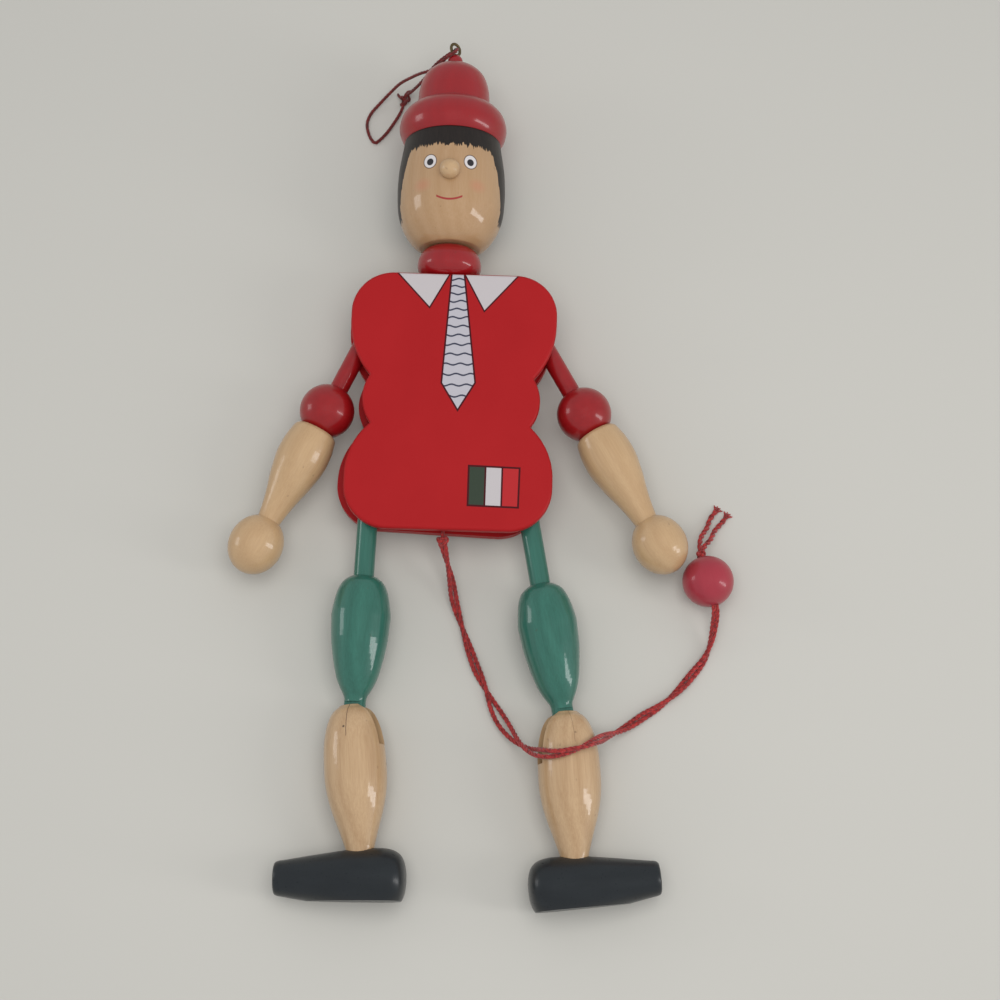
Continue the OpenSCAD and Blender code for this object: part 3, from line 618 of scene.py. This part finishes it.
def board(name, place, look):
    """A board of the outline, its edges rounded in a few steps."""
    edge_r, steps = 1.5, 6
    ring = board_outline()
    count = len(ring)
    normals = []
    for i in range(count):
        d = (Vector(ring[(i + 1) % count]) - Vector(ring[i - 1])).normalized()
        normals.append(Vector((d.y, -d.x)))
    rows = []
    for step in range(steps + 1):
        a = math.radians(90 * step / steps)
        rows.append((edge_r * (1 - math.sin(a)), edge_r * (1 - math.cos(a))))
    rows += [(inset, BOARD_T - z) for inset, z in reversed(rows)]
    verts, faces = [], []
    for inset, z in rows:
        for p, n in zip(ring, normals):
            verts.append((place @ Vector((p[0] - n.x * inset, p[1] - n.y * inset, z))) * MM)
    for j in range(len(rows) - 1):
        for i in range(count):
            k = (i + 1) % count
            faces.append((j * count + i, j * count + k, (j + 1) * count + k,
                          (j + 1) * count + i))
    faces.append(tuple(reversed(range(count))))
    faces.append(tuple(range((len(rows) - 1) * count, len(rows) * count)))
    piece = new_object(name, verts, (), faces)
    face_outward(piece)
    for polygon in piece.data.polygons:
        polygon.use_smooth = len(polygon.vertices) == 4
    piece.data.materials.append(look.material)
    return piece


def board_look(name):
    """Thin red paint, a little cloudy; gives the look and its colour."""
    look = Look(name, TORSO, PAINT_RED, 0.45)
    look.put({"Specular IOR Level": 0.2})
    brush_depth = 0.05
    look.bump(look.noise((0.5,) * 3, 4.0), brush_depth)
    return look, look.blend(look.noise((0.03,) * 3), PAINT_RED, PAINT_RED_LIGHT)


def outside(look, corners):
    """How far a spot lies outside a convex outline, in mm; corners run anticlockwise."""
    x, y = look.axes[:2]
    far = None
    for (px, py), (qx, qy) in zip(corners, corners[1:] + corners[:1]):
        dx, dy = qx - px, qy - py
        side = math.hypot(dx, dy)
        off = x * (dy / side) - y * (dx / side) + (py * dx - px * dy) / side
        far = off if far is None else far.most(off)
    return far


def on_board(points):
    """Places measured on the lying toy, as places on its board."""
    back = TORSO_LOCAL.inverted()
    return [tuple((back @ Vector((px, py, 0)))[:2]) for px, py in points]


def printed(color, shape, border, fill):
    """A dark line round a shape and a fill inside it, on the front face alone.

    border is how far the line reaches out, the fill stays in, and the fill is soft.
    """
    line_out, fill_in, fill_soft = border
    line = shape.below(line_out, PRINT_SOFT) * on_front
    color = front_look.blend(line, color, PRINT_LINE)
    return front_look.blend(shape.below(-fill_in, fill_soft) * on_front, color, fill)


PAINT_RED, PAINT_RED_LIGHT = srgb(154, 17, 21), srgb(166, 25, 28)
PRINT_WHITE, PRINT_LINE = srgb(185, 178, 178), srgb(66, 10, 16)
TIE_GREY, WAVE_BLUE = srgb(178, 174, 180), srgb(58, 60, 76)
BAR_GREEN, BAR_RED = srgb(52, 62, 50), srgb(172, 38, 41)
COLLAR_BORDER, TIE_BORDER, PATCH_BORDER = (0.55, 0.15, 0.12), (0.45, 0.35, 0.12), (0.45, 0.4, 0.15)
FRONT_FACE_Z, PRINT_SOFT, WAVE_HALF, JOIN_HALF = 10.2, 0.15, 0.4, 0.4
COLLAR_LEFT = [(-10.0, 103.8), (0.1, 121.5), (-25.6, 121.8)]
COLLAR_RIGHT = [(15.0, 101.9), (31.6, 120.0), (5.3, 121.4)]
TIE = [(3.0, 54.9), (10.8, 67.7), (5.6, 121.5), (0.3, 121.5), (-4.3, 67.7)]
TIE_WAVES, TIE_TOP, WAVE_GAP, WAVE_GAP_GROWTH = 14, 117.0, 3.3, 0.075
PATCH = [(7.7, 11.0), (30.0, 9.9), (30.8, 27.9), (8.2, 29.1)]
front_look, front_color = board_look("front_board_paint")
x, y, z = front_look.axes
on_front = z.above(FRONT_FACE_Z, 0.1)
for corners in (COLLAR_LEFT, COLLAR_RIGHT):
    collar = outside(front_look, on_board(corners))
    front_color = printed(front_color, collar, COLLAR_BORDER, PRINT_WHITE)
waves = None
for k in range(TIE_WAVES):
    level = TIE_TOP - WAVE_GAP * k - WAVE_GAP_GROWTH * k * k
    ripple = (x * 0.95 + k * 1.7).sin() * 0.42
    wave = abs(ripple + x * 0.03 + level - y)
    waves = wave if waves is None else waves.least(wave)
tie_cloth = front_look.blend(waves.below(WAVE_HALF, PRINT_SOFT), TIE_GREY, WAVE_BLUE)
tie = outside(front_look, on_board(TIE))
front_color = printed(front_color, tie, TIE_BORDER, tie_cloth)
patch = on_board(PATCH)
patch_left, third = patch[0][0], (patch[1][0] - patch[0][0]) / 3
bars = front_look.blend(x.below(patch_left + third, PRINT_SOFT), PRINT_WHITE, BAR_GREEN)
bars = front_look.blend(x.above(patch_left + 2 * third, PRINT_SOFT), bars, BAR_RED)
joins = abs(x - patch_left - third).least(abs(x - patch_left - 2 * third))
bars = front_look.blend(joins.below(JOIN_HALF, PRINT_SOFT), bars, PRINT_LINE)
front_color = printed(front_color, outside(front_look, patch), PATCH_BORDER, bars)
front_look.put({"Base Color": front_color})
front_board = board("front_board", TORSO @ move(0, 0, BOARD_GAP / 2), front_look)
settle(front_board, "torso", "red_paint", "front_panel")
back_look, back_color = board_look("back_board_paint")
back_look.put({"Base Color": back_color})
dress("back_panel", back_look)

# Neck ring
# A flattened turned bead, stained red and varnished. The neck dowel runs
# through it and it sits glued between the boards' top and the head.
STAIN_RED, STAIN_DARK = srgb(146, 14, 20), srgb(128, 14, 20)
NECK_X = -3.5
RING_H, RING_R, RING_BORE_R = 15.0, 14.75, 4.3
RING_SHARES = [(0, 0.62), (0.04, 0.74), (0.14, 0.88), (0.3, 0.98), (0.46, 1), (0.62, 0.98),
               (0.8, 0.9), (0.93, 0.78), (1, 0.64)]


def outline_of(shares, height, radius):
    """An outline in mm from shares of the height and of the widest radius."""
    return [(p[1] * radius, p[0] * height) for p in catmull(shares, 4)]


ring_place = TORSO @ move(NECK_X, BOARD_H, 0)
ring_look = stain_look("neck_ring_stain", ring_place, STAIN_RED, STAIN_DARK, 3.0)
ring_bore = [(RING_BORE_R, RING_H), (RING_BORE_R, 0.0)]
ring_outline = ring_bore[1:] + outline_of(RING_SHARES, RING_H, RING_R) + ring_bore
neck_ring = turned("neck_ring_turned", ring_place, ring_outline, ring_look)
settle(neck_ring, "torso", "red_varnish", "neck_ring")

# Head
# A turned egg-shaped head of pale wood, glued on the neck dowel. The plain face
# and the dark hair are painted on, under a clear varnish that the hair dulls.
HEAD_LEAN = 1.2
HEAD_SEAT, HEAD_H, HEAD_R = 15.1, 52.4, 25.1
HEAD_SHARES = [(0, 0.56), (0.025, 0.64), (0.05, 0.7), (0.09, 0.77), (0.14, 0.84),
               (0.21, 0.908), (0.33, 0.976), (0.47, 0.998), (0.57, 1), (0.72, 0.984),
               (0.87, 0.938), (1, 0.896)]
HEAD_PALE, HEAD_DARK = srgb(176, 142, 106), srgb(158, 121, 80)
EYE_WHITE, EYE_RIM, PUPIL_BLACK = srgb(208, 202, 200), srgb(96, 74, 58), srgb(28, 24, 28)
CHEEK_ROSE, MOUTH_RED = srgb(196, 92, 76), srgb(150, 40, 38)
HAIR_DARK, HAIR_LIGHT = srgb(20, 17, 16), srgb(44, 36, 31)
EYE_X, EYE_Y, EYE_R, PUPIL_R, PUPIL_DROP = 9.2, 34.0, (2.7, 3.2), (1.5, 1.7), 0.3
CHEEK_X, CHEEK_Y, CHEEK_R, CHEEK_STRENGTH = 12.5, 23.0, (4.0, 3.4), 0.22
MOUTH_Y, MOUTH_HALF, MOUTH_CURVE, MOUTH_LINE = 15.5, 5.5, 0.045, 0.45
HAIR_SIDE_Y, HAIR_FRINGE, HAIR_TURN, HAIR_TURN_WIDTH, STRAND_LENGTH = 8.0, 31.0, 0.26, 0.38, 7.0
NECK = LAY @ move(*(TORSO_LOCAL @ Vector((NECK_X, BOARD_H, 0)))) @ turn(-HEAD_LEAN, "Z")
head_place = NECK @ move(0, HEAD_SEAT, 0)
head_look, head_color = wood_look("head_wood", head_place, HEAD_PALE, HEAD_DARK, seed=11.0)
x, y, z = head_look.axes
facing = z.above(0.0, 2.0)


def spot(cx, cy, rx, ry):
    """Grows outward from the middle of an ellipse on the face; 1 is its edge."""
    return ((x - cx) / rx * ((x - cx) / rx) + (y - cy) / ry * ((y - cy) / ry)).root()


def painted(shape, color):
    return head_look.blend(shape * facing, head_color, color)


for mirror in (-1, 1):
    eye = spot(mirror * EYE_X, EYE_Y, *EYE_R)
    head_color = painted(eye.below(1.14, 0.06), EYE_RIM)
    head_color = painted(eye.below(1.0, 0.06), EYE_WHITE)
    pupil = spot(mirror * EYE_X, EYE_Y - PUPIL_DROP, *PUPIL_R)
    head_color = painted(pupil.below(1.0, 0.1), PUPIL_BLACK)
    cheek = spot(mirror * CHEEK_X, CHEEK_Y, *CHEEK_R)
    head_color = painted(cheek.below(0.7, 0.9) * CHEEK_STRENGTH, CHEEK_ROSE)
smile = abs(x * x * MOUTH_CURVE - y + MOUTH_Y).most(abs(x) - MOUTH_HALF)
head_color = painted(smile.below(MOUTH_LINE, 0.25), MOUTH_RED)
toward_front = z / (x * x + z * z + 1.0).root()
fringe = ((toward_front - HAIR_TURN) / HAIR_TURN_WIDTH).clamped() * HAIR_FRINGE
strands = head_look.noise((1.1, 0.02, 1.1), 2.0, 5.0) * STRAND_LENGTH
hair = (fringe + HAIR_SIDE_Y + strands - y).below(0.0, 0.35)
lock = head_look.noise((1.4, 0.05, 1.4), 3.0, 5.0)
hair_color = head_look.blend(lock, HAIR_DARK, HAIR_LIGHT)
head_look.put({"Base Color": head_look.blend(hair, head_color, hair_color),
               "Coat Weight": 0.8 - hair * 0.7})
head_outline = [(0.0, 0.0)] + outline_of(HEAD_SHARES, HEAD_H, HEAD_R) + [(0.0, HEAD_H)]
head = turned("head_turned", head_place, head_outline, head_look, 128)
settle(head, "torso", "varnished_wood", "head")

# Nose
# A short round button of the same wood, glued on a peg in the head. It is a
# ball without its back, where the peg goes into the face.
PALE_WOOD, DARK_WOOD = srgb(189, 157, 118), srgb(165, 130, 92)
NOSE_R, NOSE_OUT, NOSE_RISE, NOSE_GRAIN = 4.6, 0.55, 0.55, 0.8
nose_place = (NECK @ move(0, HEAD_SEAT + HEAD_H * NOSE_RISE, HEAD_R + NOSE_R * NOSE_OUT)
              @ turn(90, "X"))
nose_look, nose_color = wood_look("nose_wood", nose_place, PALE_WOOD, DARK_WOOD, NOSE_GRAIN,
                                  seed=4.0)
nose_look.put({"Base Color": nose_color})
nose_outline = [(NOSE_R * math.cos(math.radians(a)), NOSE_R * math.sin(math.radians(a)))
                for a in range(-70, 91, 5)]
nose = turned("nose_button", nose_place, nose_outline, nose_look, 64)
settle(nose, "torso", "varnished_wood", "nose")

# Hat
# A turned cap with a rolled brim, a crease, a round crown and a small knob that
# takes the screw eye. It is stained red, varnished and glued on the head's top.
HAT_SEAT, HAT_H, HAT_R = HEAD_SEAT + HEAD_H, 46.7, 25.25
HAT_SHARES = [(0, 0.885), (0.025, 0.922), (0.065, 0.962), (0.12, 0.993), (0.171, 1),
              (0.235, 0.978), (0.29, 0.935), (0.345, 0.85), (0.385, 0.75), (0.4, 0.685),
              (0.43, 0.675), (0.5, 0.668), (0.58, 0.656), (0.675, 0.614), (0.75, 0.548),
              (0.82, 0.42), (0.865, 0.26), (0.885, 0.16), (0.9, 0.13)]
KNOB_FOOT_SHARE, KNOB_BALL_SHARE, HAT_GLOSS = 0.18, 0.8, 0.14
KNOB_R = HAT_R * KNOB_FOOT_SHARE * KNOB_BALL_SHARE
hat_place = NECK @ move(0, HAT_SEAT, 0)
hat_look = stain_look("hat_stain", hat_place, STAIN_RED, STAIN_DARK, 9.0)
hat_look.put({"Coat Roughness": HAT_GLOSS})
knob = arc((0.0, HAT_H - KNOB_R), KNOB_R, -56, 88, 18)
hat_outline = [(0.0, 0.0)] + outline_of(HAT_SHARES, HAT_H, HAT_R) + knob + [(0.0, HAT_H)]
hat = turned("hat_turned", hat_place, hat_outline, hat_look, 128)
settle(hat, "torso", "red_varnish", "hat")

# Screw eye
# A bent brass wire with a thread, screwed into the hat's knob. It keeps its
# solid; the brass has dulled and is a little uneven in its gloss.
DULL_BRASS = srgb(112, 98, 70)
brass = Look("eye_brass", Matrix.Identity(4), DULL_BRASS, 0.4)
brass.put({"Metallic": 1.0, "Roughness": brass.noise((2, 2, 2)) * 0.3 + 0.3})
dress("screw_eye", brass)

# Arms
# Each arm is one turned piece: a rod that swings on a nail between the boards, a
# sleeve ball with its cuff, a forearm and a hand. Down to the cuff it is stained
# red; the rest is pale wood under varnish.
SIDE = {"left": -1, "right": 1}
SHOULDER_SPAN, SHOULDER_Y = 78.8, 93.2
ARM_LEAN = {"left": 26.2, "right": 28.8}
ARM_BALL_AT, CUFF_AT = 41.25, 10.29
STAIN_END = ARM_BALL_AT + CUFF_AT - 0.15
SLEEVE_RED, SLEEVE_RED_LIGHT = srgb(130, 10, 14), srgb(148, 18, 22)
ARM_GRAIN, ARM_COAT, ARM_GLOSS = 1.0, 0.6, 0.13


def shoulder(side):
    at = TORSO_LOCAL @ Vector((SIDE[side] * SHOULDER_SPAN / 2, SHOULDER_Y, 0))
    return LAY @ move(*at) @ turn(SIDE[side] * ARM_LEAN[side], "Z")


for side, seed in (("left", 21.0), ("right", 33.0)):
    look, wood = wood_look(side + "_arm_wood", shoulder(side), PALE_WOOD, DARK_WOOD,
                           ARM_GRAIN, ARM_COAT, seed, ARM_GLOSS)
    red = look.blend(look.noise((0.3,) * 3, 2.0), SLEEVE_RED, SLEEVE_RED_LIGHT)
    stained = look.axes[1].above(-STAIN_END, 0.1)
    look.put({"Base Color": look.blend(stained, wood, red)})
    dress(side + "_arm", look)

# Thighs
# Turned green thighs: a rod that swings on a nail between the boards above, a
# long swelling, and a flat tongue below that goes into the calf.
STAIN_GREEN, STAIN_GREEN_DARK = srgb(48, 106, 91), srgb(16, 62, 50)
HIP_SPAN, HIP_Y, HIP_OFFSET = 70.6, 16.0, 1.0
THIGH_LEAN = {"left": 2.9, "right": 9.5}


def hip(side):
    s = SIDE[side]
    at = TORSO_LOCAL @ Vector((s * HIP_SPAN / 2, HIP_Y - s * HIP_OFFSET, 0))
    return LAY @ move(*at) @ turn(s * THIGH_LEAN[side], "Z")


for side, seed in (("left", 41.0), ("right", 47.0)):
    dress(side + "_thigh", stain_look(side + "_thigh_stain", hip(side), STAIN_GREEN,
                                      STAIN_GREEN_DARK, seed))

# Calves
# Turned calves of pale varnished wood with a sawn slot at the top. The thigh's
# tongue swings in it on a steel pin, whose end and the crack beside it show.
THIGH_LENGTH, KNEE_TWIST = 105.2, 16.0
KNEE_BEND = {"left": 7.7, "right": 6.75}
CALF_PALE, CALF_DARK, CALF_GRAIN = srgb(190, 159, 122), srgb(158, 123, 86), 1.25
CRACK_BROWN, CRACK_HALF, CRACK_LOW_Y = srgb(74, 52, 36), 0.14, -3.5
PIN_BROWN, PIN_R = srgb(60, 44, 34), 0.5


def knee(side):
    s = SIDE[side]
    return (hip(side) @ move(0, -THIGH_LENGTH, 0) @ turn(s * KNEE_TWIST, "Y")
            @ turn(-s * KNEE_BEND[side], "Z"))


for side, seed, strength, crack_x in (("left", 51.0, 0.85, 1.1), ("right", 57.0, 0.4, -0.6)):
    look, wood = wood_look(side + "_calf_wood", knee(side), CALF_PALE, CALF_DARK, CALF_GRAIN,
                           seed=seed)
    x, y, z = look.axes
    behind = z * -1.0
    drift = look.noise((0.0, 0.5, 0.0), 3.0, seed) * 0.5
    crack = abs(x - crack_x + drift - 0.25).most((y - CRACK_LOW_Y) * -0.2).most(behind)
    wood = look.blend(crack.below(CRACK_HALF, 0.12) * strength, wood, CRACK_BROWN)
    pin_mark = (x * x + y * y).root().most(behind)
    wood = look.blend(pin_mark.below(PIN_R, 0.3) * strength, wood, PIN_BROWN)
    look.put({"Base Color": wood})
    dress(side + "_calf", look)

# Shoes
# Shoes with a flat sole, cut from a turned blank and painted charcoal. Each
# sits glued on a dowel that stands out of the calf.
CHARCOAL, CHARCOAL_LIGHT = srgb(15, 19, 22), srgb(30, 35, 38)
PAINT_ROUGH, PAINT_COAT, PAINT_GLOSS, PAINT_DEPTH = 0.42, 0.25, 0.22, 0.06
CALF_LENGTH = 64.1
TOE_LIFT = {"left": 4.8, "right": 2.4}


def ankle(side):
    s = SIDE[side]
    return (knee(side) @ move(0, -CALF_LENGTH, 0) @ turn(-s * KNEE_TWIST, "Y")
            @ turn(s * TOE_LIFT[side], "Z"))


for side, seed in (("left", 51.0), ("right", 57.0)):
    look = Look(side + "_shoe_paint", ankle(side), CHARCOAL, PAINT_ROUGH, PAINT_COAT, PAINT_GLOSS)
    cloud = look.noise((0.05, 0.16, 0.16), 3.0, seed)
    dull = look.noise((1.1,) * 3, 1.0, seed + 4.0).above(0.7, 0.05)
    look.put({"Base Color": look.blend(cloud, CHARCOAL, CHARCOAL_LIGHT),
              "Specular IOR Level": 0.35, "Roughness": dull * 0.4 + 0.36})
    look.bump(cloud, PAINT_DEPTH)
    dress(side + "_shoe", look)

# Nails and pins
# Steel nails driven in from the back, on which arms and thighs swing, and the
# steel pins of the knees. They keep their solids.
STEEL_GREY = srgb(150, 150, 152)
steel = Look("nail_steel", Matrix.Identity(4), STEEL_GREY, 0.4)
steel.put({"Metallic": 1.0, "Roughness": steel.noise((2, 2, 2)) * 0.25 + 0.3})
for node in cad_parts:
    if node.endswith("_pin"):
        dress(node, steel)

# Neck block, spacers and dowels
# Bare wood inside the toy that holds it together: the block and the two spacers
# between the boards, the neck dowel and the dowels in the ankles.
bare, bare_color = wood_look("bare_wood", TORSO, PALE_WOOD, DARK_WOOD, coat=0.0, seed=71.0)
bare.put({"Base Color": bare_color})
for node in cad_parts:
    if node.endswith(("_spacer", "dowel")) or node == "neck_block":
        dress(node, bare)

# Inner strings
# Red cotton strings between the boards: one across the two arms, one across the
# two thighs, and the draw string that joins them to the pull cord.
for node in ("arm_string", "leg_string", "draw_string"):
    dress(node, PULL_COTTON)

# Floor and lamps
# The toy lies on a plain pale floor by a window on the right, with a weak lamp
# opposite and soft light from above that leaves no reflection.
FLOOR_HALF = 3
FLOOR_PALE, SKY, SKY_STRENGTH = srgb(193, 190, 182), (0.93, 0.96, 1.0, 1), 0.6
floor = new_object("floor", [(-FLOOR_HALF, -FLOOR_HALF, 0), (FLOOR_HALF, -FLOOR_HALF, 0),
                             (FLOOR_HALF, FLOOR_HALF, 0), (-FLOOR_HALF, FLOOR_HALF, 0)],
                   (), [(0, 1, 2, 3)])
floor_look = Look("floor_pale", Matrix.Identity(4), FLOOR_PALE, 0.9)
floor.data.materials.append(floor_look.material)
for name, place, size, power, reflects in (
        ("window", (1.5, -0.42, 0.62), (0.3, 1.1), 6.4, True),
        ("wall", (-1.6, 0.25, 0.5), (0.5, 0.5), 2.5, True),
        ("ceiling", (0.05, -0.12, 0.9), (0.7, 0.7), 4.35, False)):
    data = bpy.data.lights.new(name, "AREA")
    data.shape, data.size, data.size_y, data.energy = "RECTANGLE", size[0], size[1], power
    lamp = bpy.data.objects.new(name, data)
    bpy.context.scene.collection.objects.link(lamp)
    lamp.location = place
    lamp.rotation_euler = (-Vector(place)).to_track_quat("-Z", "Y").to_euler()
    lamp.visible_glossy = reflects
world = bpy.data.worlds.new("room")
world.use_nodes = True
sky = world.node_tree.nodes["Background"]
sky.inputs["Color"].default_value = SKY
sky.inputs["Strength"].default_value = SKY_STRENGTH
bpy.context.scene.world = world
bpy.context.scene.view_settings.view_transform = "Standard"
